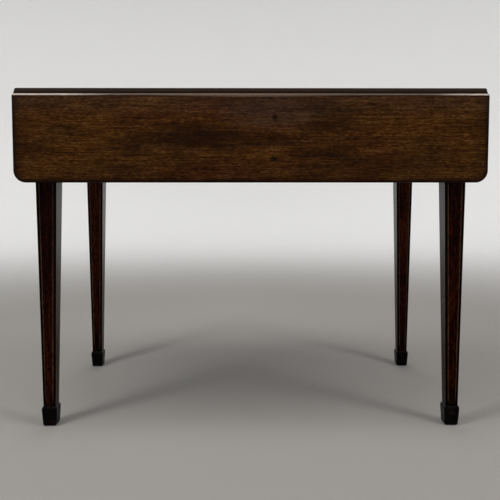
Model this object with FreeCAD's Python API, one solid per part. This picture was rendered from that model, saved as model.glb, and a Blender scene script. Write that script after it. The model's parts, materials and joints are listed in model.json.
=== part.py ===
"""Pembroke table: four tapered legs, two drop leaves on rule joints, fly brackets and an end drawer."""
import FreeCAD, Part
import math
import os

# Overall sizes, in millimetres
table_height = 720.0
top_length = 975.0
top_width = 512.0
board_thickness = 15.0
leaf_drop = 182.0
leaf_corner_radius = 25.0
edge_round = 3.2
top_end_set_in = 2.0
top_end_round = 4.6
under_round = 1.5

# Rule joint between the top and each leaf; the hinge pin lies this far above the boards' undersides
ovolo_radius = 4.4
lip_radius = 4.6
lip_flat = 0.8
pin_rise = 3.5
joint_gap = 0.4

# Legs and feet; the top overhangs the legs by these distances
end_overhang = 33.5
side_overhang = 22.0
frieze_height = 118.0
stile = 46.0
ankle = 26.3
ankle_set_in = 5.3
leg_corner_radius = 1.2
foot_height = 43.0
foot_lip = 0.7
foot_shoulder = 33.0
foot_shoulder_drop = 8.0
foot_sole = 29.0
foot_sole_round = 4.6
foot_corner_radius = 2.6
foot_facets = 5
foot_dowel_radius = 8.0
foot_dowel_length = 26.0

# Stringing let into the leg faces
string_width = 2.2
string_depth = 1.0
string_inset_top = 6.0
string_inset_ankle = 4.6
string_end_margin = 7.0

# Rails and their tenons
frieze_recess = 1.5
fly_thickness = 22.0
guide_thickness = 4.5
end_rail_thickness = 22.0
tenon_thickness = 8.0
tenon_length = 22.0
tenon_shoulder = 20.0
upper_rail_height = 16.0
lower_rail_height = 18.0
drawer_rail_depth = 40.0
rail_tenon_width = 25.0
rail_tenon_shoulder = 4.0
cross_rail_thickness = 20.0
cross_rail_gap = 72.5
cross_rail_housing = 6.0

# Fly brackets
fly_end_length = 88.0
fly_reach = 170.0
fly_ogee = 45.0
fly_saw_gap = 1.5
fly_rail_gap = 1.0
fly_top_gap = 0.5
knuckle_count = 5
knuckle_end_gap = 0.4
knuckle_side_gap = 0.3
fly_pin_radius = 3.0
fly_pin_fit = 0.08
fly_pin_inset = 3.0

# Rule-joint hinges
hinge_end_inset = 107.5
hinge_width = 38.0
hinge_plate_thickness = 2.0
hinge_plate_length = 30.0
hinge_flap_length = 42.0
hinge_barrel_radius = 2.6
hinge_pin_radius = 1.25
hinge_pin_fit = 0.06
hinge_knuckles = 5
hinge_knuckle_gap = 0.2
hinge_cut_back = 5.2
hinge_groove_gap = 0.5
hinge_screw_margin = 6.4

# Wood screws
hinge_screw_head_radius = 3.2
hinge_screw_head_depth = 1.6
hinge_screw_radius = 1.6
hinge_screw_length = 9.5
top_screw_head_radius = 4.0
top_screw_head_depth = 2.2
top_screw_radius = 2.0
top_screw_bite = 9.0
screw_point = 3.0
screw_tip_radius = 0.4
screw_slot_width = 0.8
screw_slot_depth = 0.7

# Drawer
drawer_length = 430.0
drawer_gap = 1.0
drawer_side_gap = 1.2
drawer_lift = 0.2
drawer_front_thickness = 20.0
drawer_side_thickness = 10.0
drawer_side_headroom = 5.8
drawer_back_thickness = 10.0
drawer_back_drop = 8.0
drawer_bottom_thickness = 6.0
drawer_bottom_rise = 6.0
drawer_groove = 4.0
dovetail_length = 13.0
dovetail_count = 3
dovetail_flare = 3.0
bead_width = 3.0
bead_depth = 6.0
bead_proud = 2.0
runner_width = 32.0
guide_height = 15.0
kicker_width = 28.0
stop_width = 40.0
stop_depth = 14.0
stop_height = 5.0
stop_gap = 0.3
stop_offset = 60.0

# Knobs
knob_leg_inset = 93.0
knob_rose_radius = 10.0
knob_neck_radius = 4.5
knob_ball_radius = 11.0
knob_length = 24.0
knob_rose_thickness = 3.0
knob_stem_radius = 2.5
knob_stem_tail = 9.0
knob_nut_radius = 6.0
knob_nut_thickness = 4.0

# Top fixings
pocket_width = 14.0
pocket_depth = 10.0
pocket_height = 30.0
pocket_below_top = 28.0
pocket_leg_inset = 108.0
end_pocket_leg_inset = 88.0
glue_block_side = 15.0
glue_block_length = 60.0
glue_block_gap = 20.0

# Levels and planes that the sizes above give
V = FreeCAD.Vector
X_AXIS = V(1, 0, 0)
Y_AXIS = V(0, 1, 0)
Z_AXIS = V(0, 0, 1)
underside = table_height - board_thickness
frieze_bottom = underside - frieze_height
pin_depth = board_thickness - pin_rise
joint_fillet = pin_depth - ovolo_radius
lip_round = min(lip_radius, joint_fillet - lip_flat)
pin_y = top_width / 2
pin_z = table_height - pin_depth
cove_radius = ovolo_radius + joint_gap
leaf_outer_y = pin_y + pin_depth
leaf_inner_y = leaf_outer_y - board_thickness
leg_out_x = top_length / 2 - end_overhang
leg_out_y = top_width / 2 - side_overhang
leg_in_x = leg_out_x - stile
leg_in_y = leg_out_y - stile
frieze_x = leg_out_x - frieze_recess
fly_face_y = leg_out_y - frieze_recess
rail_out_y = fly_face_y - fly_thickness
rail_in_y = leg_in_y + guide_thickness
lower_rail_top = frieze_bottom + lower_rail_height
upper_rail_bottom = underside - upper_rail_height
drawer_rail_in_x = frieze_x - drawer_rail_depth
drawer_back_x = frieze_x - drawer_length
knob_y = leg_in_y - knob_leg_inset
knob_z = (lower_rail_top + upper_rail_bottom) / 2
cross_rail_front_x = drawer_back_x - cross_rail_gap
cross_rail_back_x = cross_rail_front_x - cross_rail_thickness
fly_tip_x = leg_in_x - fly_end_length
fly_pivot_x = fly_tip_x - fly_reach

corners = {
    "front_left": (-1, -1),
    "front_right": (1, -1),
    "back_left": (-1, 1),
    "back_right": (1, 1),
}
sides = {"front": -1, "back": 1}
nodes = {}


def box(x, y, z):
    """A block between the two values given for each axis."""
    low = V(min(x), min(y), min(z))
    size = V(max(x), max(y), max(z)) - low
    return Part.makeBox(size.x, size.y, size.z, low)


def line(a, b):
    """A straight edge."""
    return Part.LineSegment(a, b).toShape()


def arc(a, middle, b):
    """A round edge through three points."""
    return Part.Arc(a, middle, b).toShape()


def prism(edges, sweep):
    """A closed outline carried along a vector."""
    return Part.Face(Part.Wire(edges)).extrude(sweep)


def polygon(points, sweep):
    """A straight-sided outline carried along a vector."""
    return Part.Face(Part.makePolygon(points + points[:1])).extrude(sweep)


def placed(shape, x_side=1, y_side=1):
    """A piece drawn in the back right quarter, mirrored to the quarter with these signs."""
    if x_side < 0:
        shape = shape.mirror(V(0, 0, 0), X_AXIS)
    if y_side < 0:
        shape = shape.mirror(V(0, 0, 0), Y_AXIS)
    return shape


def both_ends(shape):
    """A piece and its mirror image in X, as one list."""
    return [shape, placed(shape, -1, 1)]


def group(shapes):
    """Separate solids kept in one node."""
    return Part.makeCompound([solid for shape in shapes for solid in shape.Solids])


def rounded(shape, radius, chosen):
    """The shape with the chosen edges rounded."""
    return shape.makeFillet(radius, [edge for edge in shape.Edges if chosen(edge)])


def near(a, b):
    """Whether two measures are the same."""
    return abs(a - b) < 1e-4


def lies(edge, axis, value):
    """Whether both ends of an edge have this value on the axis."""
    return all(near(getattr(vertex.Point, axis), value) for vertex in edge.Vertexes)


def rounded_square(centre, width, radius, z):
    """A square outline with round corners, as a wire at height z."""
    half = width / 2
    inner = half - radius
    cut = radius * math.sqrt(0.5)
    edges = []
    for turn in range(4):
        start = V(half, -inner, 0)
        end = V(half, inner, 0)
        middle = V(inner + cut, inner + cut, 0)
        after = V(inner, half, 0)
        spin = FreeCAD.Rotation(Z_AXIS, 90 * turn)
        place = V(centre[0], centre[1], z)
        p, q, m, r = [spin.multVec(point) + place for point in (start, end, middle, after)]
        edges += [line(p, q), arc(q, m, r)]
    return Part.Wire(edges)


def make_top():
    """The fixed top: a board, a little shorter than the leaves, with a fillet over an ovolo on its long edges."""
    start = top_end_set_in - top_length / 2
    low_angle = -math.asin((pin_z - underside) / ovolo_radius)
    middle_angle = (math.pi / 2 + low_angle) / 2

    def ovolo(angle, side):
        out = pin_y + ovolo_radius * math.cos(angle)
        return V(start, side * out, pin_z + ovolo_radius * math.sin(angle))

    right = [ovolo(angle, 1) for angle in (math.pi / 2, middle_angle, low_angle)]
    left = [ovolo(angle, -1) for angle in (math.pi / 2, middle_angle, low_angle)]
    corner_right = V(start, pin_y, table_height)
    corner_left = V(start, -pin_y, table_height)
    outline = [
        line(corner_right, right[0]), arc(*right), line(right[2], left[2]),
        arc(left[2], left[1], left[0]), line(left[0], corner_left), line(corner_left, corner_right),
    ]
    board = prism(outline, V(-2 * start, 0, 0))

    def end_edge(edge, z):
        return lies(edge, "z", z) and (lies(edge, "x", start) or lies(edge, "x", -start))

    board = rounded(board, top_end_round, lambda edge: end_edge(edge, table_height))
    return rounded(board, under_round, lambda edge: end_edge(edge, underside))


def leaf_point(across, up, x):
    """A point of the hanging back leaf: across its width from the joint, up through its thickness."""
    return V(x, pin_y + up, pin_z - across)


def make_leaf():
    """The back leaf, hanging: a board whose joint edge is a cove round the hinge pin."""
    start = -top_length / 2
    end = -start
    upper = pin_depth
    lower = pin_depth - board_thickness
    cove_top = math.sqrt(cove_radius ** 2 - joint_gap ** 2)
    half_turn = math.sqrt(0.5)
    cove_middle = cove_radius * half_turn

    def at(across, up):
        return leaf_point(across, up, start)

    lip_centre = (joint_gap + lip_round, upper - lip_round)
    lip_middle = at(lip_centre[0] - lip_round * half_turn, lip_centre[1] + lip_round * half_turn)
    lip_start = at(joint_gap, lip_centre[1])
    lip_end = at(lip_centre[0], upper)
    outline = [
        line(at(joint_gap, cove_top), lip_start),
        arc(lip_start, lip_middle, lip_end),
        line(lip_end, at(leaf_drop, upper)),
        line(at(leaf_drop, upper), at(leaf_drop, lower)),
        line(at(leaf_drop, lower), at(cove_radius, lower)),
        line(at(cove_radius, lower), at(cove_radius, 0)),
        arc(at(cove_radius, 0), at(cove_middle, cove_middle), at(joint_gap, cove_top)),
    ]
    board = prism(outline, V(top_length, 0, 0))
    bottom_z = pin_z - leaf_drop

    def corner(edge):
        return lies(edge, "z", bottom_z) and (lies(edge, "x", start) or lies(edge, "x", end))

    def outer_rim(edge):
        return lies(edge, "y", leaf_outer_y) and not lies(edge, "z", pin_z - lip_centre[0])

    def inner_rim(edge):
        return lies(edge, "y", leaf_inner_y) and not lies(edge, "z", pin_z - cove_radius)

    board = rounded(board, leaf_corner_radius, corner)
    board = rounded(board, edge_round, outer_rim)
    return rounded(board, under_round, inner_rim)


def make_leg():
    """One leg: a square stile, a taper on all four faces and a dowel for the foot."""
    top_centre = (leg_out_x - stile / 2, leg_out_y - stile / 2)
    wires = [
        rounded_square(top_centre, stile, leg_corner_radius, underside),
        rounded_square(top_centre, stile, leg_corner_radius, frieze_bottom),
        rounded_square(foot_centre(), ankle, leg_corner_radius, foot_height),
    ]
    shaft = Part.makeLoft(wires, True, True)
    return shaft.fuse(make_foot_dowel())


def foot_centre():
    """Where the middle of a foot stands, in the back right quarter."""
    offset = ankle_set_in + ankle / 2
    return (leg_out_x - offset, leg_out_y - offset)


def make_foot_dowel():
    """The round dowel at the end of a leg."""
    x, y = foot_centre()
    base = V(x, y, foot_height - foot_dowel_length)
    return Part.makeCylinder(foot_dowel_radius, foot_dowel_length, base, Z_AXIS)


def foot_sections():
    """Half widths of a foot and their heights: up round the sole, then over the rounded shoulder."""
    top = ankle / 2 + foot_lip
    shoulder = foot_shoulder / 2
    shoulder_z = foot_height - foot_shoulder_drop
    flat = foot_sole / 2 - foot_sole_round
    turns = [math.pi / 2 * step / foot_facets for step in range(foot_facets + 1)]
    sole = [(flat + foot_sole_round * math.sin(a), foot_sole_round * (1 - math.cos(a))) for a in turns]
    swell = shoulder - top
    upper = [(top + swell * math.cos(a), shoulder_z + foot_shoulder_drop * math.sin(a)) for a in turns]
    return sole + upper


def make_foot():
    """A spade foot: a square block with a rounded shoulder and sole, bored for the dowel."""
    wires = [rounded_square(foot_centre(), 2 * half, foot_corner_radius, z) for half, z in foot_sections()]
    return Part.makeLoft(wires, True, True).cut(make_foot_dowel())


def make_strings():
    """Four frames of stringing, one in each tapered face of a leg."""
    x_foot, y_foot = foot_centre()
    x_top = leg_out_x - stile / 2
    y_top = leg_out_y - stile / 2
    fall = frieze_bottom - foot_height
    frames = []
    for turn in range(4):
        spin = FreeCAD.Rotation(Z_AXIS, 90 * turn)

        def on_face(share, edge_inset, side):
            """A point on the face: share of the way down, inset from the arris on one side."""
            half = (stile + (ankle - stile) * share) / 2
            local = spin.multVec(V(half, side * (half - edge_inset), 0))
            x = x_top + (x_foot - x_top) * share + local.x
            y = y_top + (y_foot - y_top) * share + local.y
            return V(x, y, frieze_bottom - fall * share)

        def ring(extra):
            """The four corners of a frame, drawn in by extra on every side."""
            top_share = (string_end_margin + extra) / fall
            low_share = 1 - top_share
            slope = string_inset_ankle - string_inset_top
            inset_top = string_inset_top + slope * top_share + extra
            inset_low = string_inset_top + slope * low_share + extra
            return [
                on_face(top_share, inset_top, -1), on_face(top_share, inset_top, 1),
                on_face(low_share, inset_low, 1), on_face(low_share, inset_low, -1),
            ]

        outer = ring(0.0)
        inner = ring(string_width)
        inward = (outer[3] - outer[0]).cross(outer[1] - outer[0])
        inward.normalize()
        if inward.dot(spin.multVec(X_AXIS)) > 0:
            inward = inward * -1
        sweep = inward * string_depth
        frames.append(polygon(outer, sweep).cut(polygon(inner, sweep)))
    return frames


def make_side_rail():
    """A long rail behind the back fly rail, with a tenon at each end."""
    rail = box((-leg_in_x, leg_in_x), (rail_in_y, rail_out_y), (frieze_bottom, underside))
    reach = leg_in_x + tenon_length
    shoulder = (rail_out_y - rail_in_y - tenon_thickness) / 2
    tenon = box(
        (-reach, reach), (rail_in_y + shoulder, rail_out_y - shoulder),
        (frieze_bottom + tenon_shoulder, underside - tenon_shoulder),
    )
    return rail.fuse(tenon).removeSplitter()


def make_end_rail():
    """The rail at the left end, which carries the dummy drawer front."""
    inner_x = -frieze_x + end_rail_thickness
    rail = box((-frieze_x, inner_x), (-leg_in_y, leg_in_y), (frieze_bottom, underside))
    reach = leg_in_y + tenon_length
    shoulder = (end_rail_thickness - tenon_thickness) / 2
    tenon = box(
        (-frieze_x + shoulder, inner_x - shoulder), (-reach, reach),
        (frieze_bottom + tenon_shoulder, underside - tenon_shoulder),
    )
    return rail.fuse(tenon).removeSplitter()


def make_drawer_rail(low, high):
    """A flat rail above or below the drawer, with a stub tenon at each end."""
    rail = box((drawer_rail_in_x, frieze_x), (-leg_in_y, leg_in_y), (low, high))
    middle_x = (drawer_rail_in_x + frieze_x) / 2
    reach = leg_in_y + tenon_length
    tenon = box(
        (middle_x - rail_tenon_width / 2, middle_x + rail_tenon_width / 2), (-reach, reach),
        (low + rail_tenon_shoulder, high - rail_tenon_shoulder),
    )
    return rail.fuse(tenon).removeSplitter()


def make_cross_rail():
    """The rail across the middle of the frame, housed into both side rails."""
    reach = rail_in_y + cross_rail_housing
    return box((cross_rail_back_x, cross_rail_front_x), (-reach, reach), (frieze_bottom, underside))


def knuckle_levels(chosen, gap):
    """The heights of every other knuckle of a fly joint, starting at the chosen one."""
    step = frieze_height / knuckle_count
    spans = []
    for index in range(chosen, knuckle_count, 2):
        low = frieze_bottom + index * step
        spans.append((low + gap, low + step - gap))
    return spans


def fly_axis():
    """Where the pin of the back right fly bracket stands."""
    return (fly_pivot_x, fly_face_y - knuckle_radius())


def knuckle_radius():
    """Half the thickness of a fly bracket, which its knuckles are rounded to."""
    return (fly_thickness - fly_rail_gap) / 2


def make_knuckles(root_x, spans, bore):
    """The fingers of a fly joint, from a shoulder at root_x to a round end on the pin."""
    x, y = fly_axis()
    radius = knuckle_radius()
    fingers = []
    for low, high in spans:
        finger = box((root_x, x), (y - radius, y + radius), (low, high))
        finger = finger.fuse(Part.makeCylinder(radius, high - low, V(x, y, low), Z_AXIS))
        fingers.append(finger.cut(Part.makeCylinder(bore, high - low, V(x, y, low), Z_AXIS)))
    return fingers


def make_fly_block():
    """The fixed centre of the back fly rail, with knuckles at both ends."""
    root_x = fly_pivot_x - knuckle_radius() - knuckle_end_gap
    block = box((-root_x, root_x), (rail_out_y, fly_face_y), (frieze_bottom, underside))
    fingers = make_knuckles(root_x, knuckle_levels(0, 0.0), fly_pin_radius)
    for finger in fingers:
        block = block.multiFuse(both_ends(finger))
    return block.removeSplitter()


def ogee(x):
    """The S-shaped saw cut at the tip of a fly bracket, from the top at x down to the bottom."""
    middle_z = (frieze_bottom + underside) / 2
    radius = (fly_ogee ** 2 + frieze_height ** 2) / (4 * fly_ogee)
    half_angle = math.asin(frieze_height / 2 / radius) / 2
    bulge = radius * (1 - math.cos(half_angle))
    drop = radius * math.sin(half_angle)
    top = V(x, 0, underside)
    middle = V(x - fly_ogee / 2, 0, middle_z)
    bottom = V(x - fly_ogee, 0, frieze_bottom)
    upper_arc = arc(top, V(x - bulge, 0, underside - drop), middle)
    lower_arc = arc(middle, V(x - fly_ogee + bulge, 0, frieze_bottom + drop), bottom)
    return [upper_arc, lower_arc], top, bottom


def make_fly_bracket():
    """The back right fly bracket: knuckles at its root, an ogee at its tip."""
    root_x = fly_pivot_x + knuckle_radius() + knuckle_end_gap
    curve, top, bottom = ogee(fly_tip_x)
    root_low = V(root_x, 0, frieze_bottom)
    root_high = V(root_x, 0, underside)
    outline = curve + [line(bottom, root_low), line(root_low, root_high), line(root_high, top)]
    thickness = 2 * knuckle_radius()
    arm = prism(outline, V(0, thickness, 0))
    arm.translate(V(0, fly_face_y - thickness, 0))
    fingers = make_knuckles(root_x, knuckle_levels(1, knuckle_side_gap), fly_pin_radius + fly_pin_fit)
    arm = arm.multiFuse(fingers).removeSplitter()
    headroom = box(
        (fly_pivot_x, leg_in_x), (rail_out_y, fly_face_y), (underside - fly_top_gap, underside),
    )
    return arm.cut(headroom)


def make_fly_end():
    """The fixed block between a fly bracket's tip and the leg."""
    curve, top, bottom = ogee(fly_tip_x + fly_saw_gap)
    leg_low = V(leg_in_x, 0, frieze_bottom)
    leg_high = V(leg_in_x, 0, underside)
    outline = curve + [line(bottom, leg_low), line(leg_low, leg_high), line(leg_high, top)]
    block = prism(outline, V(0, fly_thickness, 0))
    block.translate(V(0, rail_out_y, 0))
    return block


def make_fly_pin():
    """The steel pin of one fly joint."""
    x, y = fly_axis()
    base = V(x, y, frieze_bottom + fly_pin_inset)
    return Part.makeCylinder(fly_pin_radius, frieze_height - 2 * fly_pin_inset, base, Z_AXIS)


def make_screw(head_radius, head_depth, radius, length):
    """A slotted countersunk wood screw, head down at the origin, pointing up."""
    head = Part.makeCone(head_radius, radius, head_depth)
    shank_length = length - head_depth - screw_point
    shank = Part.makeCylinder(radius, shank_length, V(0, 0, head_depth))
    point = Part.makeCone(radius, screw_tip_radius, screw_point, V(0, 0, head_depth + shank_length))
    half_slot = screw_slot_width / 2
    slot = box((-head_radius, head_radius), (-half_slot, half_slot), (0, screw_slot_depth))
    return head.fuse(shank).fuse(point).removeSplitter().cut(slot)


def hinge_spans(chosen, gap):
    """The stretches along X of every other hinge knuckle, starting at the chosen one."""
    step = hinge_width / hinge_knuckles
    spans = []
    for index in range(chosen, hinge_knuckles, 2):
        low = -hinge_width / 2 + index * step
        spans.append((low + gap, low + step - gap))
    return spans


def make_hinge_half(length, chosen, bore):
    """A hinge plate with its knuckles, lying flat: Y runs away from the pin, which is the X axis."""
    low = underside - pin_z
    high = low + hinge_plate_thickness
    half = hinge_width / 2
    plate = box((-half, half), (hinge_cut_back, length), (low, high))
    for start, end in hinge_spans(chosen, hinge_knuckle_gap / 2):
        tongue = box((start, end), (0, hinge_cut_back), (low, high))
        barrel = Part.makeCylinder(hinge_barrel_radius, end - start, V(start, 0, 0), X_AXIS)
        plate = plate.fuse(tongue).fuse(barrel)
    bore_hole = Part.makeCylinder(bore, hinge_width, V(-half, 0, 0), X_AXIS)
    return plate.removeSplitter().cut(bore_hole)


def hinge_screw_places(length):
    """The three screws of a hinge plate, as X and distance from the pin."""
    side = hinge_width / 2 - hinge_screw_margin
    inner = (hinge_cut_back + length - hinge_screw_margin) / 2
    outer = length - hinge_screw_margin
    return [(-side, inner), (side, inner), (0.0, outer)]


def hinge_places():
    """Where the hinges sit along a leaf."""
    outer = top_length / 2 - hinge_end_inset
    return [-outer, 0.0, outer]


def make_hinges():
    """The hinges of the back leaf: fixed plates, leaf flaps, pins and the screws of each."""
    pieces = {"plates": [], "flaps": [], "pins": [], "top_screws": [], "leaf_screws": []}
    screw = make_screw(
        hinge_screw_head_radius, hinge_screw_head_depth, hinge_screw_radius, hinge_screw_length,
    )
    low = underside - pin_z
    half = hinge_width / 2
    fixed = make_hinge_half(hinge_plate_length, 0, hinge_pin_radius).mirror(V(0, 0, 0), Y_AXIS)
    flap = make_hinge_half(hinge_flap_length, 1, hinge_pin_radius + hinge_pin_fit)
    fixed_screws = []
    for x, away in hinge_screw_places(hinge_plate_length):
        fixed_screws.append(screw.translated(V(x, -away, low)))
    flap_screws = []
    for x, away in hinge_screw_places(hinge_flap_length):
        flap_screws.append(screw.translated(V(x, away, low)))
    for item in fixed_screws:
        fixed = fixed.cut(item)
    for item in flap_screws:
        flap = flap.cut(item)
    for x in hinge_places():
        place = V(x, pin_y, pin_z)

        def hung(shape):
            """The leaf's half, turned down to hang with the leaf."""
            return shape.rotated(V(0, 0, 0), X_AXIS, -90).translated(place)

        pieces["plates"].append(fixed.translated(place))
        pieces["flaps"].append(hung(flap))
        pin = Part.makeCylinder(hinge_pin_radius, hinge_width, V(-half, 0, 0), X_AXIS)
        pieces["pins"].append(pin.translated(place))
        pieces["top_screws"] += [item.translated(place) for item in fixed_screws]
        pieces["leaf_screws"] += [hung(item) for item in flap_screws]
    return pieces


def hinge_room(x):
    """The room in the top for one hinge: a groove for the knuckles and a way out for the leaf's flap."""
    half = hinge_width / 2 + joint_gap
    radius = hinge_barrel_radius + hinge_groove_gap
    groove = Part.makeCylinder(radius, 2 * half, V(x - half, pin_y, pin_z), X_AXIS)
    inner = pin_y - pin_rise - joint_gap
    mouth = box((x - half, x + half), (inner, pin_y + radius), (underside, pin_z + joint_gap))
    flap_top = underside + hinge_plate_thickness + joint_gap
    way_out = box((x - half, x + half), (pin_y, pin_y + ovolo_radius), (underside, flap_top))
    return groove.fuse(mouth).fuse(way_out)


def make_bead(face_x, half_width, low, high):
    """Four strips of bead round a drawer front whose face is at face_x, each with a round nose."""
    nose = bead_width / 2
    back = face_x - bead_depth
    flat = face_x + bead_proud - nose

    def strip(origin, across, along):
        """A strip that starts at a corner; across is its width's direction, along its run."""
        def at(x, offset):
            return V(x, origin.y, origin.z) + across * offset

        outline = [
            line(at(back, 0), at(flat, 0)),
            arc(at(flat, 0), at(flat + nose, nose), at(flat, bead_width)),
            line(at(flat, bead_width), at(back, bead_width)),
            line(at(back, bead_width), at(back, 0)),
        ]
        return prism(outline, along)

    run = V(0, 2 * half_width, 0)
    rise = V(0, 0, high - low - 2 * bead_width)
    start = V(0, -half_width, 0)
    return [
        strip(start + V(0, 0, low), Z_AXIS, run),
        strip(start + V(0, 0, high - bead_width), Z_AXIS, run),
        strip(start + V(0, 0, low + bead_width), Y_AXIS, rise),
        strip(V(0, half_width - bead_width, low + bead_width), Y_AXIS, rise),
    ]


def make_knob(stem):
    """A turned knob on the right end: rose, neck, ball and a stem that runs into the front."""
    ball_centre = knob_length - knob_ball_radius
    join = ball_centre - math.sqrt(knob_ball_radius ** 2 - knob_neck_radius ** 2)

    def at(along, out):
        return V(along, 0, out)

    def on_ball(angle):
        return at(ball_centre + knob_ball_radius * math.cos(angle), knob_ball_radius * math.sin(angle))

    outline = [
        line(at(-stem, 0), at(-stem, knob_stem_radius)),
        line(at(-stem, knob_stem_radius), at(0, knob_stem_radius)),
        line(at(0, knob_stem_radius), at(0, knob_rose_radius)),
        line(at(0, knob_rose_radius), at(knob_rose_thickness / 2, knob_rose_radius)),
        line(at(knob_rose_thickness / 2, knob_rose_radius), at(knob_rose_thickness, knob_neck_radius)),
        line(at(knob_rose_thickness, knob_neck_radius), at(join, knob_neck_radius)),
        arc(at(join, knob_neck_radius), at(ball_centre, knob_ball_radius), on_ball(math.pi / 4)),
        arc(on_ball(math.pi / 4), on_ball(math.pi / 8), at(knob_length, 0)),
        line(at(knob_length, 0), at(-stem, 0)),
    ]
    face = Part.Face(Part.Wire(outline))
    return face.revolve(V(0, 0, 0), X_AXIS, 360).translated(V(frieze_x, 0, knob_z))


def make_nut():
    """A square nut on a knob's stem, inside the drawer."""
    face = frieze_x - drawer_front_thickness
    half = knob_nut_radius * math.sqrt(0.5)
    back = face - knob_nut_thickness
    nut = box((back, face), (-half, half), (knob_z - half, knob_z + half))
    stem = Part.makeCylinder(knob_stem_radius, knob_nut_thickness, V(back, 0, knob_z), X_AXIS)
    return nut.cut(stem)


def make_tails(root_x, end_x, low, high, near_y, far_y):
    """Dovetails on the end of a drawer side, from root_x to end_x, wider at their ends."""
    pitch = (high - low) / dovetail_count
    half_root = pitch / 2 - dovetail_flare
    half_end = half_root + dovetail_flare / 2
    tails = []
    for index in range(dovetail_count):
        middle = low + pitch * (index + 0.5)
        points = [
            V(root_x, near_y, middle - half_root), V(end_x, near_y, middle - half_end),
            V(end_x, near_y, middle + half_end), V(root_x, near_y, middle + half_root),
        ]
        tails.append(polygon(points, V(0, far_y - near_y, 0)))
    return tails


def make_drawer():
    """The drawer's boards, nuts and bead, closed in the right end."""
    front_in_x = frieze_x - drawer_front_thickness
    front_low = lower_rail_top + drawer_gap
    front_high = upper_rail_bottom - drawer_gap
    half_width = leg_in_y - drawer_gap
    side_out = leg_in_y - drawer_side_gap
    side_in = side_out - drawer_side_thickness
    side_low = lower_rail_top + drawer_lift
    side_high = upper_rail_bottom - drawer_side_headroom
    bottom_low = side_low + drawer_bottom_rise
    bottom_high = bottom_low + drawer_bottom_thickness
    back_in_x = drawer_back_x + drawer_back_thickness
    back_high = side_high - drawer_back_drop

    front = box((front_in_x, frieze_x), (-half_width, half_width), (front_low, front_high))
    bead = make_bead(frieze_x, half_width, front_low, front_high)
    bottom = box(
        (drawer_back_x, front_in_x + drawer_groove), (-side_in - drawer_groove, side_in + drawer_groove),
        (bottom_low, bottom_high),
    )
    side = box((back_in_x, front_in_x), (side_in, side_out), (side_low, side_high))
    heel = box((drawer_back_x, back_in_x), (side_in, side_out), (side_low, bottom_high))
    tails = make_tails(front_in_x, front_in_x + dovetail_length, bottom_high, side_high, side_in, side_out)
    tails += make_tails(back_in_x, drawer_back_x, bottom_high, back_high, side_in, side_out)
    side = side.fuse(heel).multiFuse(tails).removeSplitter().cut(bottom)
    back = box((drawer_back_x, back_in_x), (-side_out, side_out), (bottom_high, back_high))
    drawer = {}
    for name, sign in sides.items():
        board = placed(side, 1, sign)
        front = front.cut(board)
        back = back.cut(board)
        drawer["drawer_side_" + name] = board
    front = front.cut(bottom).cut(group(bead))
    stem = drawer_front_thickness + knob_stem_tail
    nuts = []
    for name, sign in sides.items():
        knob = make_knob(stem).translated(V(0, sign * knob_y, 0))
        front = front.cut(knob)
        drawer["drawer_knob_" + name] = knob
        nuts.append(make_nut().translated(V(0, sign * knob_y, 0)))
    drawer["drawer_front"] = front
    drawer["drawer_back"] = back
    drawer["drawer_bottom"] = bottom
    drawer["drawer_bead"] = group(bead)
    drawer["drawer_knob_nuts"] = group(nuts)
    return drawer


def leg_notch():
    """The room that the back right leg takes out of a strip which runs past it."""
    return box((leg_in_x, leg_out_x), (leg_in_y, leg_out_y), (frieze_bottom, underside))


def make_runner():
    """A drawer runner on the back side, with a guide for the drawer side, notched round the leg."""
    length = (cross_rail_front_x, drawer_rail_in_x)
    base = box(length, (rail_in_y - runner_width, rail_in_y), (frieze_bottom, lower_rail_top))
    guide = box(length, (leg_in_y, rail_in_y), (lower_rail_top, lower_rail_top + guide_height))
    return base.fuse(guide).removeSplitter().cut(leg_notch())


def make_kicker():
    """The strip above a drawer side that keeps the open drawer from tipping, notched round the leg."""
    length = (cross_rail_front_x, drawer_rail_in_x)
    strip = box(length, (rail_in_y - kicker_width, rail_in_y), (upper_rail_bottom, underside))
    return strip.cut(leg_notch())


def make_stops():
    """Two blocks on the lower drawer rail that the drawer front closes against."""
    face = frieze_x - drawer_front_thickness - stop_gap
    stops = []
    for sign in sides.values():
        middle = sign * stop_offset
        stops.append(box(
            (face - stop_depth, face), (middle - stop_width / 2, middle + stop_width / 2),
            (lower_rail_top, lower_rail_top + stop_height),
        ))
    return stops


def make_top_fixings():
    """Screws up into the top, and the pockets cut for them in the rails."""
    pocket_top = underside - pocket_below_top
    long_screw = make_screw(
        top_screw_head_radius, top_screw_head_depth, top_screw_radius, pocket_below_top + top_screw_bite,
    )
    short_screw = make_screw(
        top_screw_head_radius, top_screw_head_depth, top_screw_radius, upper_rail_height + top_screw_bite,
    )
    middle = pocket_depth / 2
    half = pocket_width / 2
    levels = (pocket_top - pocket_height, pocket_top)
    screws = []
    pockets = []
    for sign in sides.values():
        for x in (pocket_leg_inset - leg_in_x, 0.0, leg_in_x - pocket_leg_inset):
            pocket = box((x - half, x + half), (rail_in_y, rail_in_y + pocket_depth), levels)
            pockets.append(placed(pocket, 1, sign))
            screws.append(placed(long_screw.translated(V(x, rail_in_y + middle, pocket_top)), 1, sign))
        y = sign * (leg_in_y - end_pocket_leg_inset)
        inner_x = -frieze_x + end_rail_thickness
        pockets.append(box((inner_x - pocket_depth, inner_x), (y - half, y + half), levels))
        screws.append(long_screw.translated(V(inner_x - middle, y, pocket_top)))
        rail_x = (drawer_rail_in_x + frieze_x) / 2
        screws.append(short_screw.translated(V(rail_x, y, upper_rail_bottom)))
    return screws, pockets


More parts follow.
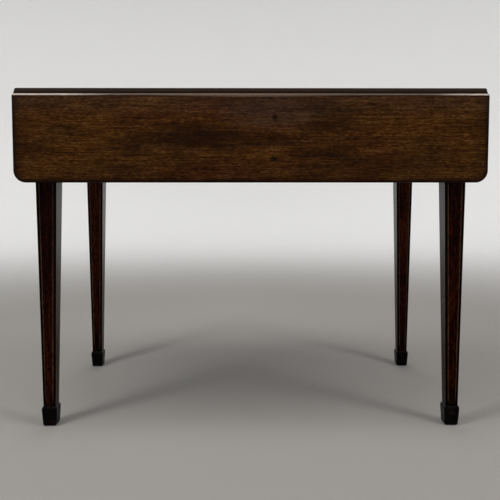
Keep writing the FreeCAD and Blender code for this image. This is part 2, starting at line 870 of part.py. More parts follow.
def make_glue_blocks():
    """Three-cornered blocks in the angle between the rails and the top."""
    blocks = []
    by_cross_rail = cross_rail_back_x - glue_block_gap - glue_block_length
    by_leg = glue_block_gap - leg_in_x
    inner_x = -frieze_x + end_rail_thickness
    low = underside - glue_block_side
    for sign in sides.values():
        for x in (by_cross_rail, by_leg):
            points = [
                V(x, rail_in_y, underside),
                V(x, rail_in_y - glue_block_side, underside),
                V(x, rail_in_y, low),
            ]
            blocks.append(placed(polygon(points, V(glue_block_length, 0, 0)), 1, sign))
    start = -glue_block_length / 2
    points = [
        V(inner_x, start, underside), V(inner_x + glue_block_side, start, underside), V(inner_x, start, low),
    ]
    blocks.append(polygon(points, V(0, glue_block_length, 0)))
    return blocks


def cut_all(shape, tools):
    """The shape with every tool cut out of it."""
    for tool in tools:
        shape = shape.cut(tool)
    return shape


def build():
    """Make every piece, cut the joints between them and fill the table of nodes."""
    upper_rail = make_drawer_rail(upper_rail_bottom, underside)
    lower_rail = make_drawer_rail(frieze_bottom, lower_rail_top)
    end_rail = make_end_rail()
    cross_rail = make_cross_rail()
    top_screws, pockets = make_top_fixings()
    drawer = make_drawer()
    hinges = make_hinges()
    side_rails = {name: placed(make_side_rail(), 1, sign) for name, sign in sides.items()}

    strings = make_strings()
    leg_plain = cut_all(make_leg(), strings)
    for name, (x_side, y_side) in corners.items():
        leg = placed(leg_plain, x_side, y_side)
        rails = list(side_rails.values()) + [end_rail, upper_rail, lower_rail]
        nodes["leg_" + name] = cut_all(leg, rails)
        nodes["foot_" + name] = placed(make_foot(), x_side, y_side)
        nodes["stringing_" + name] = placed(group(strings), x_side, y_side)
        nodes["fly_bracket_" + name] = placed(make_fly_bracket(), x_side, y_side)
        nodes["fly_end_" + name] = placed(make_fly_end(), x_side, y_side)

    top = make_top()
    leaf = make_leaf()
    room = [hinge_room(x) for x in hinge_places()]
    for name, sign in sides.items():
        fixed_pieces = hinges["plates"] + hinges["top_screws"]
        leaf_pieces = hinges["flaps"] + hinges["leaf_screws"]
        top = cut_all(top, [placed(tool, 1, sign) for tool in room + fixed_pieces])
        nodes["leaf_" + name] = placed(cut_all(leaf, leaf_pieces), 1, sign)
        nodes["hinge_plates_" + name] = placed(group(hinges["plates"]), 1, sign)
        nodes["hinge_flaps_" + name] = placed(group(hinges["flaps"]), 1, sign)
        nodes["hinge_leaf_screws_" + name] = placed(group(hinges["leaf_screws"]), 1, sign)
        nodes["side_rail_" + name] = cut_all(side_rails[name], [cross_rail] + pockets + top_screws)
        nodes["fly_block_" + name] = placed(make_fly_block(), 1, sign)
        nodes["runner_" + name] = placed(make_runner(), 1, sign)
        nodes["kicker_" + name] = placed(make_kicker(), 1, sign)
    nodes["table_top"] = cut_all(top, top_screws)

    both_pins = [placed(pin, 1, sign) for pin in hinges["pins"] for sign in sides.values()]
    both_screws = [placed(screw, 1, sign) for screw in hinges["top_screws"] for sign in sides.values()]
    nodes["hinge_pins"] = group(both_pins)
    nodes["hinge_top_screws"] = group(both_screws)
    nodes["fly_pins"] = group([placed(make_fly_pin(), *signs) for signs in corners.values()])
    nodes["top_screws"] = group(top_screws)
    nodes["glue_blocks"] = group(make_glue_blocks())
    nodes["drawer_rail_upper"] = cut_all(upper_rail, top_screws)
    nodes["drawer_rail_lower"] = lower_rail
    nodes["drawer_stops"] = group(make_stops())
    nodes["cross_rail"] = cross_rail

    dummy_bead = group(make_bead(frieze_x, leg_in_y - drawer_gap, lower_rail_top + drawer_gap,
                                 upper_rail_bottom - drawer_gap)).mirror(V(0, 0, 0), X_AXIS)
    end_rail = cut_all(end_rail, pockets + top_screws + [dummy_bead])
    for name, sign in sides.items():
        knob = placed(make_knob(end_rail_thickness / 2).translated(V(0, sign * knob_y, 0)), -1, 1)
        end_rail = end_rail.cut(knob)
        nodes["dummy_knob_" + name] = knob
    nodes["dummy_bead"] = dummy_bead
    nodes["end_rail"] = end_rail
    nodes.update(drawer)


build()
os.makedirs("parts", exist_ok=True)
for name, shape in nodes.items():
    solids = shape.Solids
    whole = solids[0] if len(solids) == 1 else Part.makeCompound(solids)
    whole.exportStep("parts/" + name + ".step")
    print(name, len(solids), whole.isValid(), round(whole.Volume / 1000, 2))
print(len(nodes), "nodes")
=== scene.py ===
"""Dresses the pembroke table: polished mahogany boards, dark strung legs, ebonised feet, brass and iron."""
import bpy
import json
import math
import numpy as np
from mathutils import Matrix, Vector


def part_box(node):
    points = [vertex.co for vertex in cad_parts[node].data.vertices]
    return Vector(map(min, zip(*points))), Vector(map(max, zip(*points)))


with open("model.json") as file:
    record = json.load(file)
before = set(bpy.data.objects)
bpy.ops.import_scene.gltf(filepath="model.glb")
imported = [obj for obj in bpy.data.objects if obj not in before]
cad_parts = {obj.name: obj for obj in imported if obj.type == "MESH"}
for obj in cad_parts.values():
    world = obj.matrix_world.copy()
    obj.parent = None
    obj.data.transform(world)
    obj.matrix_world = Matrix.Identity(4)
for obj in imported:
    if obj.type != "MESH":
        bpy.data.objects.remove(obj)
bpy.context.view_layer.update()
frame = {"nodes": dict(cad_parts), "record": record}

# Mahogany, from its dark streaks to its light ones, where it is golden and where it is red
GOLDEN_MAHOGANY = [
    (0.00, (0.0090, 0.0028, 0.0006)),
    (0.38, (0.0382, 0.0125, 0.0019)),
    (0.62, (0.0657, 0.0244, 0.0043)),
    (1.00, (0.1484, 0.0668, 0.0201)),
]
RED_MAHOGANY = [
    (0.00, (0.0076, 0.0018, 0.0006)),
    (0.38, (0.0286, 0.0076, 0.0016)),
    (0.62, (0.0504, 0.0151, 0.0033)),
    (1.00, (0.1145, 0.0435, 0.0138)),
]
LEG_MAHOGANY = [
    (0.00, (0.0008, 0.0003, 0.0002)),
    (0.40, (0.0056, 0.0007, 0.0002)),
    (0.62, (0.0190, 0.0029, 0.0007)),
    (1.00, (0.0480, 0.0130, 0.0042)),
]
RAIL_WOOD = [
    (0.00, (0.0420, 0.0200, 0.0095)),
    (0.45, (0.0980, 0.0530, 0.0260)),
    (1.00, (0.2100, 0.1300, 0.0700)),
]
DRAWER_OAK = [
    (0.00, (0.0900, 0.0500, 0.0240)),
    (0.45, (0.2200, 0.1380, 0.0720)),
    (1.00, (0.3700, 0.2550, 0.1450)),
]

# Other colours
PORE = (0.0060, 0.0024, 0.0012)
RING = (0.0110, 0.0036, 0.0014)
# Painted shade on rounded edges: round the leaf's rim, under its lip and at the ends of the top
RIM_SHADE = (0.0040, 0.0020, 0.0012)
# Dirt in the lip's pores, and painted shadow deep in the top's joint moulding
JOINT_GRIME_AND_SHADOW = (0.0080, 0.0042, 0.0026)
# Painted shade with a painted grey sheen, on the upper part of the top's joint moulding
JOINT_SHEEN_AND_SHADE = (0.0360, 0.0230, 0.0165)
# A painted highlight along the leaf's lip: warm in the middle, dim between, bright near the ends
LIP_HIGHLIGHT_DIM = (0.0660, 0.0380, 0.0240)
LIP_HIGHLIGHT_WARM = (0.1180, 0.0760, 0.0520)
LIP_HIGHLIGHT_BRIGHT = (0.3000, 0.2300, 0.1900)
# A painted pale reflection on the leaf
REFLECTED_HAZE = (0.0640, 0.0420, 0.0290)
LEG_BORDER = (0.0011, 0.0007, 0.0006)
STRING_LIGHT = (0.0660, 0.0325, 0.0185)
STRING_DARK = (0.0310, 0.0132, 0.0075)
EBONY = (0.0016, 0.0012, 0.0011)
EBONY_RUBBED = (0.0140, 0.0085, 0.0060)
BRASS_BRIGHT = (0.660, 0.470, 0.200)
BRASS_DULL = (0.300, 0.200, 0.085)
IRON = (0.070, 0.066, 0.062)
IRON_RUST = (0.085, 0.045, 0.025)
WALL = (0.800, 0.795, 0.785)
WALL_GLOW = (0.220, 0.220, 0.219)
FLOOR = (0.250, 0.238, 0.224)

# Places on the table, in metres
LEG_LOW, LEG_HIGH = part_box("leg_back_right")
FOOT_LOW, FOOT_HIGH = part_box("foot_back_right")
STRING_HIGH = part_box("stringing_back_right")[1]
LEAF_LOW, LEAF_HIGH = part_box("leaf_front")
TOP_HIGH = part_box("table_top")[1]
STILE = LEG_HIGH.x - LEG_LOW.x
ANKLE = 0.0263
FRIEZE_BOTTOM = 0.587
STRING_INSET = 0.0060
LEAF_CORNER = 0.025
JOINT_LINE = 0.256
LIP_HEIGHT = 0.0046
LIP_SPREAD = 0.0024

# Spans over which a finish changes, in metres
# Painted shade round the leaf's rim
RIM_SPAN = (0.0010, 0.0130)
LEAF_GOLD_SPAN = (0.15, 0.45)
# Painted shade towards the leaf's ends
LEAF_END_SHADE_SPAN = (0.004, 0.045)
# Painted reflection below the leaf's top
LEAF_REFLECTION_SPAN = (0.010, 0.060)
LEAF_FOOT_SPAN = (0.110, 0.180)
LIP_SHADOW_SPAN = (LIP_HEIGHT, LIP_HEIGHT + 0.004)
LIP_EDGE_SPAN = (-0.0006, 0.0004)
LIP_MIDDLE_SPAN = (0.02, 0.24)
# Painted highlight on the lip near the ends
LIP_HIGHLIGHT_SPAN = (0.32, 0.42)
# Painted shade at the top's ends
TOP_END_SHADE_SPAN = (0.0005, 0.0050)
JOINT_SPAN = (JOINT_LINE - 0.0012, JOINT_LINE - 0.0002)
# Painted shadow deep in the joint moulding
JOINT_SHADOW_SPAN = (0.0055, 0.0072)
BORDER_SPAN = (STRING_INSET - 0.0014, STRING_INSET)
STRUNG_SPAN = (STRING_HIGH.z, STRING_HIGH.z + 0.002)
LEG_SHEEN_SPAN = (0.02, 0.38)
LEG_FOOT_SPAN = (0.0, 0.05)
STRING_FOOT_SPAN = (0.005, 0.03)
FLOOR_SPAN = (1.2, 4.4)

# Share of a grazing view over which an old polish begins to shine
GRAZING_SPAN = (0.30, 0.90)

# Knots and a painted pale reflection on the front leaf: x, z, half width and half height in metres, and
# strength
FRONT_KNOTS = [
    (0.049, 0.660, 0.0090, 0.0080, 0.95),
    (0.047, 0.575, 0.0120, 0.0065, 0.95),
    (-0.060, 0.602, 0.0600, 0.0200, 0.60),
]
FRONT_REFLECTION = [(0.050, 0.668, 0.140, 0.045, 0.6)]

# Growth rings on the top: the pith's place and depth under the board, its wander and its dip along the board
PITH_Y = 0.03
PITH_DEPTH = 0.09
PITH_WANDER = 0.16
PITH_DIP = 0.10
RINGS_PER_METRE = 62.0

# Pieces whose grain runs across the table
CROSS_GRAIN = ("cross_rail", "drawer_stops", "drawer_back", "drawer_bottom")

# Rays that see the wall as lit: straight to the camera, mirrored in a gloss or through glass
WALL_RAYS = ("Is Camera Ray", "Is Glossy Ray", "Is Transmission Ray")

# Camera at the photograph's viewing angle
CAMERA_PLACE = (-0.0094, -1.5458, 0.5331)
CAMERA_PITCH = 3.738
CAMERA_YAW = 0.322
CAMERA_LENS = 44.76
CAMERA_SENSOR = 36.0
CAMERA_SHIFT = -0.06

# Lamps: name, place, point aimed at, width and length in metres, and watts
LAMPS = [
    ("ceiling", (0.0, 0.4, 2.9), (0.0, 0.4, 0.0), (4.5, 3.6), 36.0),
    ("left_softbox", (-1.20, -1.0, 2.5), (-0.60, -0.4, 0.6), (0.5, 3.0), 54.0),
    ("right_softbox", (1.38, -1.0, 2.5), (0.60, -0.4, 0.6), (0.5, 3.0), 38.0),
    ("left_fill", (-3.2, -0.4, 1.5), (-0.4, 0.0, 0.5), (1.2, 1.2), 5.0),
    ("right_fill", (3.2, -0.4, 1.5), (0.4, 0.0, 0.5), (1.2, 1.2), 9.0),
    ("back_softbox", (0.0, 3.0, 2.2), (0.0, 0.2, 0.5), (2.4, 1.2), 28.0),
]
SURROUND = (0.95, 0.97, 1.0)
SURROUND_STRENGTH = 0.12


class Value:
    """A shader socket that can be used in sums; each sum adds a Math node to its finish."""

    def __init__(self, finish, socket):
        self.finish = finish
        self.socket = socket

    def sum(self, operation, first, second=0.0):
        return self.finish.node("ShaderNodeMath", {"operation": operation}, {0: first, 1: second})

    def __add__(self, other):
        return self.sum("ADD", self, other)

    def __radd__(self, other):
        return self.sum("ADD", other, self)

    def __sub__(self, other):
        return self.sum("SUBTRACT", self, other)

    def __rsub__(self, other):
        return self.sum("SUBTRACT", other, self)

    def __mul__(self, other):
        return self.sum("MULTIPLY", self, other)

    def __rmul__(self, other):
        return self.sum("MULTIPLY", other, self)

    def __truediv__(self, other):
        return self.sum("DIVIDE", self, other)

    def __rtruediv__(self, other):
        return self.sum("DIVIDE", other, self)

    def __pow__(self, other):
        return self.sum("POWER", self, other)

    def __abs__(self):
        return self.sum("ABSOLUTE", self)

    def least(self, other):
        return self.sum("MINIMUM", self, other)

    def most(self, other):
        return self.sum("MAXIMUM", self, other)

    def fraction(self):
        return self.sum("FRACT", self)

    def swing(self):
        """The rise and fall of a noise about its middle."""
        return self - 0.5

    def fade(self, start, end, low=0.0, high=1.0):
        """A smooth change from low at start to high at end."""
        settings = {"interpolation_type": "SMOOTHSTEP", "clamp": True}
        return self.finish.node("ShaderNodeMapRange", settings, {0: self, 1: start, 2: end, 3: low, 4: high})


class Finish:
    """A material under construction: one method adds any node, the others name the ones used most."""

    def __init__(self, name):
        self.material = bpy.data.materials.new(name)
        self.material.use_nodes = True
        self.tree = self.material.node_tree
        self.tree.nodes.clear()
        self.place = self.node("ShaderNodeTexCoord", out="Object")
        self.x = self.node("ShaderNodeSeparateXYZ", sockets={0: self.place})
        self.y, self.z = (Value(self, socket) for socket in self.x.socket.node.outputs[1:])

    def node(self, kind, settings=None, sockets=None, out=0):
        """Adds a node, sets its own settings, then gives its sockets values or links."""
        node = self.tree.nodes.new(kind)
        for name, value in (settings or {}).items():
            if name == "stops":
                self.set_stops(node.color_ramp, value)
            else:
                setattr(node, name, value)
        for key, value in (sockets or {}).items():
            socket = node.inputs[key]
            if isinstance(value, Value):
                self.tree.links.new(value.socket, socket)
            elif socket.type == "RGBA":
                socket.default_value = (*value, 1.0)
            else:
                socket.default_value = value
        return Value(self, node.outputs[out]) if node.outputs else None

    def set_stops(self, ramp, stops):
        """Gives a colour ramp these stops, each a place and a colour."""
        while len(ramp.elements) < len(stops):
            ramp.elements.new(1.0)
        for element, (place, colour) in zip(ramp.elements, stops):
            element.position = place
            element.color = (*colour, 1.0)

    def drawn_out(self, axis, run, spread, seed=0.0):
        """Object coordinates scaled for a pattern that is drawn out along one axis."""
        scale = [spread, spread, spread]
        scale["XYZ".index(axis)] = run
        offset = (seed, 1.7 * seed, 2.3 * seed)
        return self.node("ShaderNodeMapping", sockets={0: self.place, 1: offset, 3: scale})

    def noise(self, place, detail=3.0, roughness=0.55, distortion=0.0):
        return self.node("ShaderNodeTexNoise", sockets={
            "Vector": place, "Scale": 1.0, "Detail": detail, "Roughness": roughness, "Distortion": distortion,
        })

    def speckle(self, spread, detail=4.0, seed=0.0):
        """Noise that is the same size in all directions."""
        return self.noise(self.drawn_out("X", spread, spread, seed), detail, 0.62)

    def ramp(self, share, stops):
        return self.node("ShaderNodeValToRGB", {"stops": stops}, {0: share})

    def mix(self, share, first, second):
        return self.node("ShaderNodeMix", {"data_type": "RGBA"}, {0: share, 6: first, 7: second}, out=2)

    def bump(self, height, strength, distance):
        return self.node("ShaderNodeBump", sockets={
            "Strength": strength, "Distance": distance, "Height": height,
        })

    def grazing(self):
        """Nothing where the surface is seen square on, rising to one where it is seen edge on."""
        return self.node("ShaderNodeLayerWeight", sockets={"Blend": 0.5}, out="Facing")

    def surface(self, sockets):
        """Ends the finish with one principled surface and gives the material."""
        shader = self.node("ShaderNodeBsdfPrincipled", sockets=sockets)
        self.node("ShaderNodeOutputMaterial", sockets={"Surface": shader})
        return self.material


class Grain:
    """The figure of a board along one axis: broad bands, blotches, fine streaks and open pores.

    Each pattern has so many cycles to the metre along the grain, and so many across it.
    """

    def __init__(self, finish, axis, seed, cloud=0.5):
        def pattern(along, across, shift=0.0, **noise):
            return finish.noise(finish.drawn_out(axis, along, across, seed + shift), **noise)

        waver = pattern(9.0, 30.0, detail=2.0)
        self.bands = pattern(3.0, 11.0, detail=2.0, distortion=0.5)
        self.blotches = pattern(15.0, 55.0, 3.0, detail=3.0, distortion=0.8)
        self.streaks = pattern(32.0, 320.0, detail=5.0, roughness=0.7)
        threads = pattern(6.0, 370.0, 8.0, detail=2.0, roughness=0.6)
        flecks = pattern(110.0, 410.0, 5.0, detail=2.0, roughness=0.6)
        self.pores = pattern(120.0, 1500.0, detail=1.0).fade(0.60, 0.68)
        lines = self.streaks.swing() * 1.1 + flecks.swing() * 1.4 + threads.swing()
        self.figure = 0.5 + lines + self.blotches.swing() * cloud + waver.swing() * 0.3


def polished(finish, grain, colour, roughness, coat=0.0, sheen=0.4, level=0.03, coat_roughness=0.22):
    """An old thin polish over wood: it shines at a low angle, with soft wear, a ripple and open pores."""
    wear = finish.speckle(9.0, 5.0)
    height = grain.streaks * 0.3 - grain.pores
    return finish.surface({
        "Base Color": colour,
        "Roughness": roughness + wear.swing() * 0.16 + grain.pores * 0.15,
        "Specular IOR Level": level,
        "Coat Weight": coat + finish.grazing().fade(*GRAZING_SPAN) * sheen,
        "Coat Roughness": coat_roughness,
        "Normal": finish.bump(height, 0.15, 0.0003),
    })


def rim_distance(a, b, half_a, half_b, radius):
    """How far a point lies inside a rectangle with round corners, from its two distances to the middle.

    Beside the corner circles it is the distance to the nearer straight edge, and within them the distance to
    the arc.
    """
    over_a = abs(a) - (half_a - radius)
    over_b = abs(b) - (half_b - radius)
    corner = (over_a.most(0.0) ** 2.0 + over_b.most(0.0) ** 2.0) ** 0.5
    straight = over_a.most(over_b).least(0.0)
    return radius - corner - straight


def spot(finish, x, z, width, height):
    """A soft oval on a leaf, one in its middle and nothing past its edge."""
    away = (((finish.x - x) / width) ** 2.0 + ((finish.z - z) / height) ** 2.0) ** 0.5
    return away.fade(0.25, 1.0, 1.0, 0.0)


def mahogany(finish, grain, gold):
    """Red and golden mahogany shared by the gold mask, darkened in its pores."""
    golden = finish.ramp(grain.figure, GOLDEN_MAHOGANY)
    red = finish.ramp(grain.figure, RED_MAHOGANY)
    return finish.mix(grain.pores * 0.5, finish.mix(gold, red, golden), PORE)


def leaf_mahogany(name, seed, knots, reflections):
    """A leaf: golden towards its ends, with painted shade round its rim, towards its ends and under its lip,
    a painted pale reflection near its top, darker towards its bottom, and a painted highlight along its lip,
    brightest near the ends.
    """
    finish = Finish(name)
    grain = Grain(finish, "X", seed)
    ends = abs(finish.x - 0.08).fade(*LEAF_GOLD_SPAN)
    colour = mahogany(finish, grain, (grain.bands + ends * 0.22).fade(0.42, 0.68))
    clouds = finish.noise(finish.drawn_out("X", 6.0, 20.0, seed + 9.0), detail=3.0)
    shade = clouds.fade(0.48, 0.75, 0.0, 0.70)
    for x, z, width, height, depth in knots:
        shade = shade.most(spot(finish, x, z, width, height) * depth)
    # Painted pale reflections
    for x, z, width, height, depth in reflections:
        colour = finish.mix(spot(finish, x, z, width, height) * grain.figure * depth, colour, REFLECTED_HAZE)
    colour = finish.mix(shade, colour, PORE)
    height = LEAF_HIGH.z - LEAF_LOW.z
    rim = rim_distance(finish.x, finish.z - LEAF_HIGH.z, LEAF_HIGH.x, height, LEAF_CORNER)
    # Painted shade round the rim of the leaf
    colour = finish.mix(rim.fade(*RIM_SPAN, 0.90, 0.0), colour, RIM_SHADE)
    # Painted shade towards the ends
    from_end = LEAF_HIGH.x - abs(finish.x)
    colour = finish.mix(from_end.fade(*LEAF_END_SHADE_SPAN, 0.38, 0.0), colour, PORE)
    below = LEAF_HIGH.z - finish.z
    # Painted reflection just below the top
    colour = finish.mix(below.fade(*LEAF_REFLECTION_SPAN, 0.30, 0.0) * grain.figure, colour, REFLECTED_HAZE)
    colour = finish.mix(below.fade(*LEAF_FOOT_SPAN, 0.0, 0.18), colour, PORE)
    colour = finish.mix(below.fade(*LIP_SHADOW_SPAN, 0.65, 0.0), colour, RIM_SHADE)
    # Painted highlight along the lip, brightest near the ends, where the lip is also glossier
    highlighted = (abs(finish.x - 0.04) + grain.blotches.swing() * 0.12).fade(*LIP_HIGHLIGHT_SPAN)
    middle = abs(finish.x).fade(*LIP_MIDDLE_SPAN, 1.0, 0.0)
    lip = finish.mix(highlighted, finish.mix(middle, LIP_HIGHLIGHT_DIM, LIP_HIGHLIGHT_WARM), LIP_HIGHLIGHT_BRIGHT)
    lip = finish.mix(grain.pores * 0.5 + grain.blotches * 0.2, lip, JOINT_GRIME_AND_SHADOW)
    lip_edge = below - LIP_HEIGHT - middle * LIP_SPREAD
    on_lip = lip_edge.fade(*LIP_EDGE_SPAN, 1.0, 0.0)
    coat = on_lip * (0.30 + highlighted * 0.70)
    return polished(finish, grain, finish.mix(on_lip, colour, lip), 0.30, coat=coat, coat_roughness=0.12)


def growth_lines(finish):
    """Lines of yearly growth on a wide board sawn near the middle of the tree.

    Each ring is a share of the distance from a pith that wanders under the board and dips along it; a ring
    darkens slowly outwards and ends at a sharp line.
    """
    wander = finish.noise(finish.drawn_out("X", 2.2, 7.0, 40.0), detail=3.0)
    across = finish.y - PITH_Y + wander.swing() * PITH_WANDER
    depth = PITH_DEPTH + finish.x * PITH_DIP
    radius = (across * across + depth * depth) ** 0.5
    return (radius * RINGS_PER_METRE).fraction()


def top_mahogany():
    """The fixed top: painted shade at its ends; in the joint moulding of its long edges, dirt and painted
    shade, with a painted grey sheen above and painted shadow deeper in.
    """
    finish = Finish("mahogany_top")
    grain = Grain(finish, "X", 1.3, cloud=0.35)
    colour = mahogany(finish, grain, grain.bands.fade(0.40, 0.62))
    colour = finish.mix(growth_lines(finish).fade(0.1, 1.0) * 0.45, colour, RING)
    edge = TOP_HIGH.x - abs(finish.x)
    # Painted shade at the ends
    colour = finish.mix(edge.fade(*TOP_END_SHADE_SPAN, 0.85, 0.0), colour, RIM_SHADE)
    # The joint moulding: dirt and painted shade, with a painted grey sheen above and painted shadow deeper in
    joint = abs(finish.y).fade(*JOINT_SPAN)
    depth = TOP_HIGH.z - finish.z
    joint_shade = finish.mix(depth.fade(*JOINT_SHADOW_SPAN), JOINT_SHEEN_AND_SHADE, JOINT_GRIME_AND_SHADOW)
    colour = finish.mix(joint * (0.75 + grain.blotches * 0.4), colour, joint_shade)
    roughness = 0.22 + joint * 0.4
    coat = 0.08 - joint * 0.08
    return polished(finish, grain, colour, roughness, coat, sheen=0.25, level=0.02, coat_roughness=0.14)


def frieze_mahogany():
    """Mahogany with its grain across the table, on the drawer front and the rails of the ends."""
    finish = Finish("frieze_mahogany")
    grain = Grain(finish, "Y", 3.1)
    colour = mahogany(finish, grain, grain.bands.fade(0.46, 0.70))
    return polished(finish, grain, colour, 0.28)


def leg_edge(finish):
    """How far a point on a leg lies from the nearest arris.

    The leg's middle and half width change in a straight line from the frieze to the ankle; the smaller of the
    two distances from the middle, taken from the half width, is the distance to the arris.
    """
    sockets = {0: finish.z, 1: FRIEZE_BOTTOM, 2: FOOT_HIGH.z}
    share = finish.node("ShaderNodeMapRange", {"clamp": True}, sockets)
    stile = (LEG_LOW + LEG_HIGH) / 2
    foot = (FOOT_LOW + FOOT_HIGH) / 2
    from_x = abs(abs(finish.x) - (stile.x + share * (foot.x - stile.x)))
    from_y = abs(abs(finish.y) - (stile.y + share * (foot.y - stile.y)))
    return STILE / 2 - share * ((STILE - ANKLE) / 2) - from_x.least(from_y)


def above_foot(finish):
    """Height over the top of the feet."""
    return finish.z - FOOT_HIGH.z


def leg_sheen(finish):
    """The polish of a leg: full in its upper half, worn away towards the foot."""
    return above_foot(finish).fade(*LEG_SHEEN_SPAN, 0.14, 0.46)


def leg_mahogany():
    """Dark mahogany with upright grain; the borders outside the stringing are nearly black."""
    finish = Finish("leg_mahogany")
    grain = Grain(finish, "Z", 7.7)
    colour = finish.ramp(grain.figure + grain.bands.swing() * 0.8, LEG_MAHOGANY)
    border = leg_edge(finish).fade(*BORDER_SPAN, 1.0, 0.0)
    strung = finish.z.fade(*STRUNG_SPAN, 1.0, 0.0)
    colour = finish.mix(border * strung * 0.95, colour, LEG_BORDER)
    colour = finish.mix(above_foot(finish).fade(*LEG_FOOT_SPAN, 0.50, 0.0), colour, LEG_BORDER)
    return polished(finish, grain, colour, 0.22, sheen=leg_sheen(finish), level=0.02)


def bead_mahogany():
    """The dark beads round the drawer front and the dummy front."""
    finish = Finish("bead_mahogany")
    grain = Grain(finish, "Y", 15.0)
    colour = finish.ramp(grain.figure, LEG_MAHOGANY)
    return polished(finish, grain, colour, 0.30)


def stringing():
    """Thin strings of a lighter wood, toned down by the same polish."""
    finish = Finish("stringing")
    grain = Grain(finish, "Z", 12.4)
    colour = finish.mix(grain.figure.fade(0.35, 0.7), STRING_DARK, STRING_LIGHT)
    colour = finish.mix(above_foot(finish).fade(*STRING_FOOT_SPAN, 0.80, 0.0), colour, LEG_BORDER)
    return polished(finish, grain, colour, 0.26, sheen=leg_sheen(finish), level=0.02)


def ebonised():
    """Wood stained black, rubbed brown in places."""
    finish = Finish("ebonised")
    grain = Grain(finish, "Z", 21.0)
    rubbed = finish.speckle(70.0).fade(0.50, 0.72)
    colour = finish.mix(rubbed * 0.8, EBONY, EBONY_RUBBED)
    return polished(finish, grain, colour, 0.30, sheen=0.12, level=0.04)


def bare_wood(name, stops, axis, seed):
    """Wood left bare inside the table: dry, brown with age, its open grain standing in fine furrows."""
    finish = Finish(name)
    grain = Grain(finish, axis, seed)
    darkest = stops[0][1]
    colour = finish.ramp(grain.figure + grain.bands.swing() * 0.5, stops)
    colour = finish.mix(grain.pores * 0.5, colour, darkest)
    grime = finish.speckle(14.0, 5.0, seed).fade(0.52, 0.75)
    return finish.surface({
        "Base Color": finish.mix(grime * 0.45, colour, darkest),
        "Roughness": 0.68 + grain.streaks * 0.2,
        "Specular IOR Level": 0.25,
        "Normal": finish.bump(grain.streaks * 0.6 - grain.pores, 0.3, 0.0005),
    })


def brass():
    """Old brass: bright where hands rub it, brown elsewhere, with fine turning lines."""
    finish = Finish("brass")
    tarnish = finish.speckle(130.0, 5.0).fade(0.42, 0.70)
    lines = finish.noise(finish.drawn_out("X", 2600.0, 40.0), detail=1.0)
    return finish.surface({
        "Base Color": finish.mix(tarnish * 0.8, BRASS_BRIGHT, BRASS_DULL),
        "Roughness": 0.22 + tarnish * 0.24,
        "Metallic": 1.0,
        "Normal": finish.bump(lines, 0.06, 0.0001),
    })


def iron():
    """Dark iron with freckles of rust."""
    finish = Finish("iron")
    rust = finish.speckle(240.0, 5.0).fade(0.52, 0.68)
    return finish.surface({
        "Base Color": finish.mix(rust * 0.7, IRON, IRON_RUST),
        "Roughness": 0.42 + rust * 0.3,
        "Metallic": 0.9 - rust * 0.6,
        "Normal": finish.bump(rust, 0.2, 0.0003),
    })


def dress():
    """Gives every node of the frame its finish."""
    finishes = {
        "frieze_mahogany": frieze_mahogany(),
        "dark_mahogany": leg_mahogany(),
        "ebonised": ebonised(),
        "stringing": stringing(),
        "rail_wood": bare_wood("rail_wood", RAIL_WOOD, "X", 5.5),
        "drawer_lining": bare_wood("drawer_oak", DRAWER_OAK, "X", 9.2),
        "brass": brass(),
        "iron": iron(),
    }
    cross_finishes = {
        "rail_wood": bare_wood("rail_wood_cross", RAIL_WOOD, "Y", 6.5),
        "drawer_lining": bare_wood("drawer_oak_cross", DRAWER_OAK, "Y", 8.2),
    }
    own = {
        "table_top": top_mahogany(),
        "leaf_front": leaf_mahogany("mahogany_leaf_front", 2.0, FRONT_KNOTS, FRONT_REFLECTION),
        "leaf_back": leaf_mahogany("mahogany_leaf_back", 4.6, [], []),
    }
    own["drawer_bead"] = own["dummy_bead"] = bead_mahogany()
    for part in frame["record"]["subparts"]:
        name, slot = part["node"], part["material_slot"]
        shared = cross_finishes if name in CROSS_GRAIN else finishes
        materials = frame["nodes"][name].data.materials
        materials.clear()
        materials.append(own.get(name) or shared[slot])


def sweep_finish():
    """A plain matt stage: the floor grows paler away from the table, up to a wall that looks a little lit."""
    finish = Finish("sweep")
    away = (finish.x * finish.x + finish.y * finish.y) ** 0.5
    share = away.fade(*FLOOR_SPAN)
    seen = sum(finish.node("ShaderNodeLightPath", out=ray) for ray in WALL_RAYS)
    return finish.surface({
        "Base Color": finish.mix(share, FLOOR, WALL),
        "Roughness": 0.9,
        "Specular IOR Level": 0.1,
        "Emission Color": finish.mix(share * seen.least(1.0), (0.0, 0.0, 0.0), WALL_GLOW),
        "Emission Strength": 1.0,
    })


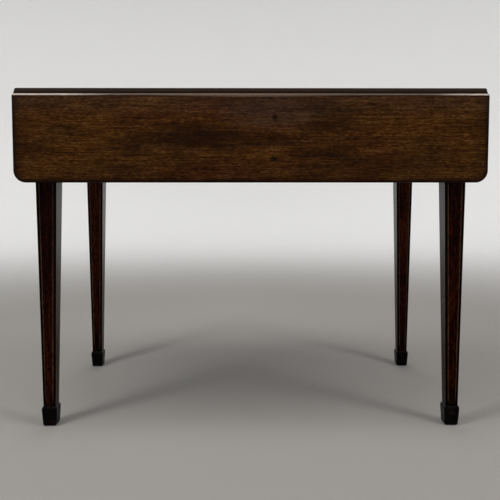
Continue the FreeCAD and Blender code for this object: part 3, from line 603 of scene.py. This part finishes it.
def make_stage():
    """A round floor swept up into a wall: one profile of floor, quarter circle and wall, turned about Z."""
    hub, reach, bend, wall_top = 0.001, 4.2, 0.8, 3.4
    bend_steps, around = 24, 96
    rise = np.linspace(0.0, math.pi / 2, bend_steps)
    profile_r = np.concatenate([[hub], reach - bend + bend * np.sin(rise), [reach]])
    profile_z = np.concatenate([[0.0], bend - bend * np.cos(rise), [wall_top]])
    turn = np.linspace(0.0, 2 * math.pi, around, endpoint=False)
    grid_x = np.cos(turn)[:, None] * profile_r
    grid_y = np.sin(turn)[:, None] * profile_r
    grid_z = np.broadcast_to(profile_z, grid_x.shape)
    points = np.stack([grid_x, grid_y, grid_z], axis=-1).reshape(-1, 3)
    count = len(profile_r)
    here, step = np.meshgrid(np.arange(around), np.arange(count - 1), indexing="ij")
    first = here * count + step
    beside = (here + 1) % around * count + step
    faces = np.stack([first, first + 1, beside + 1, beside], axis=-1).reshape(-1, 4)
    mesh = bpy.data.meshes.new("sweep")
    mesh.from_pydata(points.tolist(), [], faces.tolist())
    mesh.polygons.foreach_set("use_smooth", np.ones(len(faces), dtype=bool))
    mesh.materials.append(sweep_finish())
    sweep = bpy.data.objects.new("sweep", mesh)
    bpy.context.scene.collection.objects.link(sweep)


def add_lamp(name, place, target, size, power):
    """A soft rectangular lamp aimed at a point."""
    lamp = bpy.data.lights.new(name, "AREA")
    lamp.shape = "RECTANGLE"
    lamp.size, lamp.size_y = size
    lamp.energy = power
    light = bpy.data.objects.new(name, lamp)
    light.location = place
    light.rotation_euler = (Vector(target) - Vector(place)).to_track_quat("-Z", "Y").to_euler()
    bpy.context.scene.collection.objects.link(light)


def light_scene():
    """A soft ceiling, a long softbox above each end, weaker ones at the ends and behind, a faint surround."""
    for lamp in LAMPS:
        add_lamp(*lamp)
    world = bpy.data.worlds.new("surround")
    world.use_nodes = True
    background = world.node_tree.nodes["Background"]
    background.inputs["Color"].default_value = (*SURROUND, 1.0)
    background.inputs["Strength"].default_value = SURROUND_STRENGTH
    bpy.context.scene.world = world


def add_camera():
    """The photograph's viewpoint."""
    lens = bpy.data.cameras.new("camera")
    lens.lens = CAMERA_LENS
    lens.sensor_width = CAMERA_SENSOR
    lens.shift_y = CAMERA_SHIFT
    camera = bpy.data.objects.new("camera", lens)
    camera.location = CAMERA_PLACE
    camera.rotation_euler = (math.radians(90.0 - CAMERA_PITCH), 0.0, math.radians(-CAMERA_YAW))
    bpy.context.scene.collection.objects.link(camera)
    bpy.context.scene.camera = camera


dress()
make_stage()
light_scene()
add_camera()
bpy.context.scene.view_settings.view_transform = "Standard"
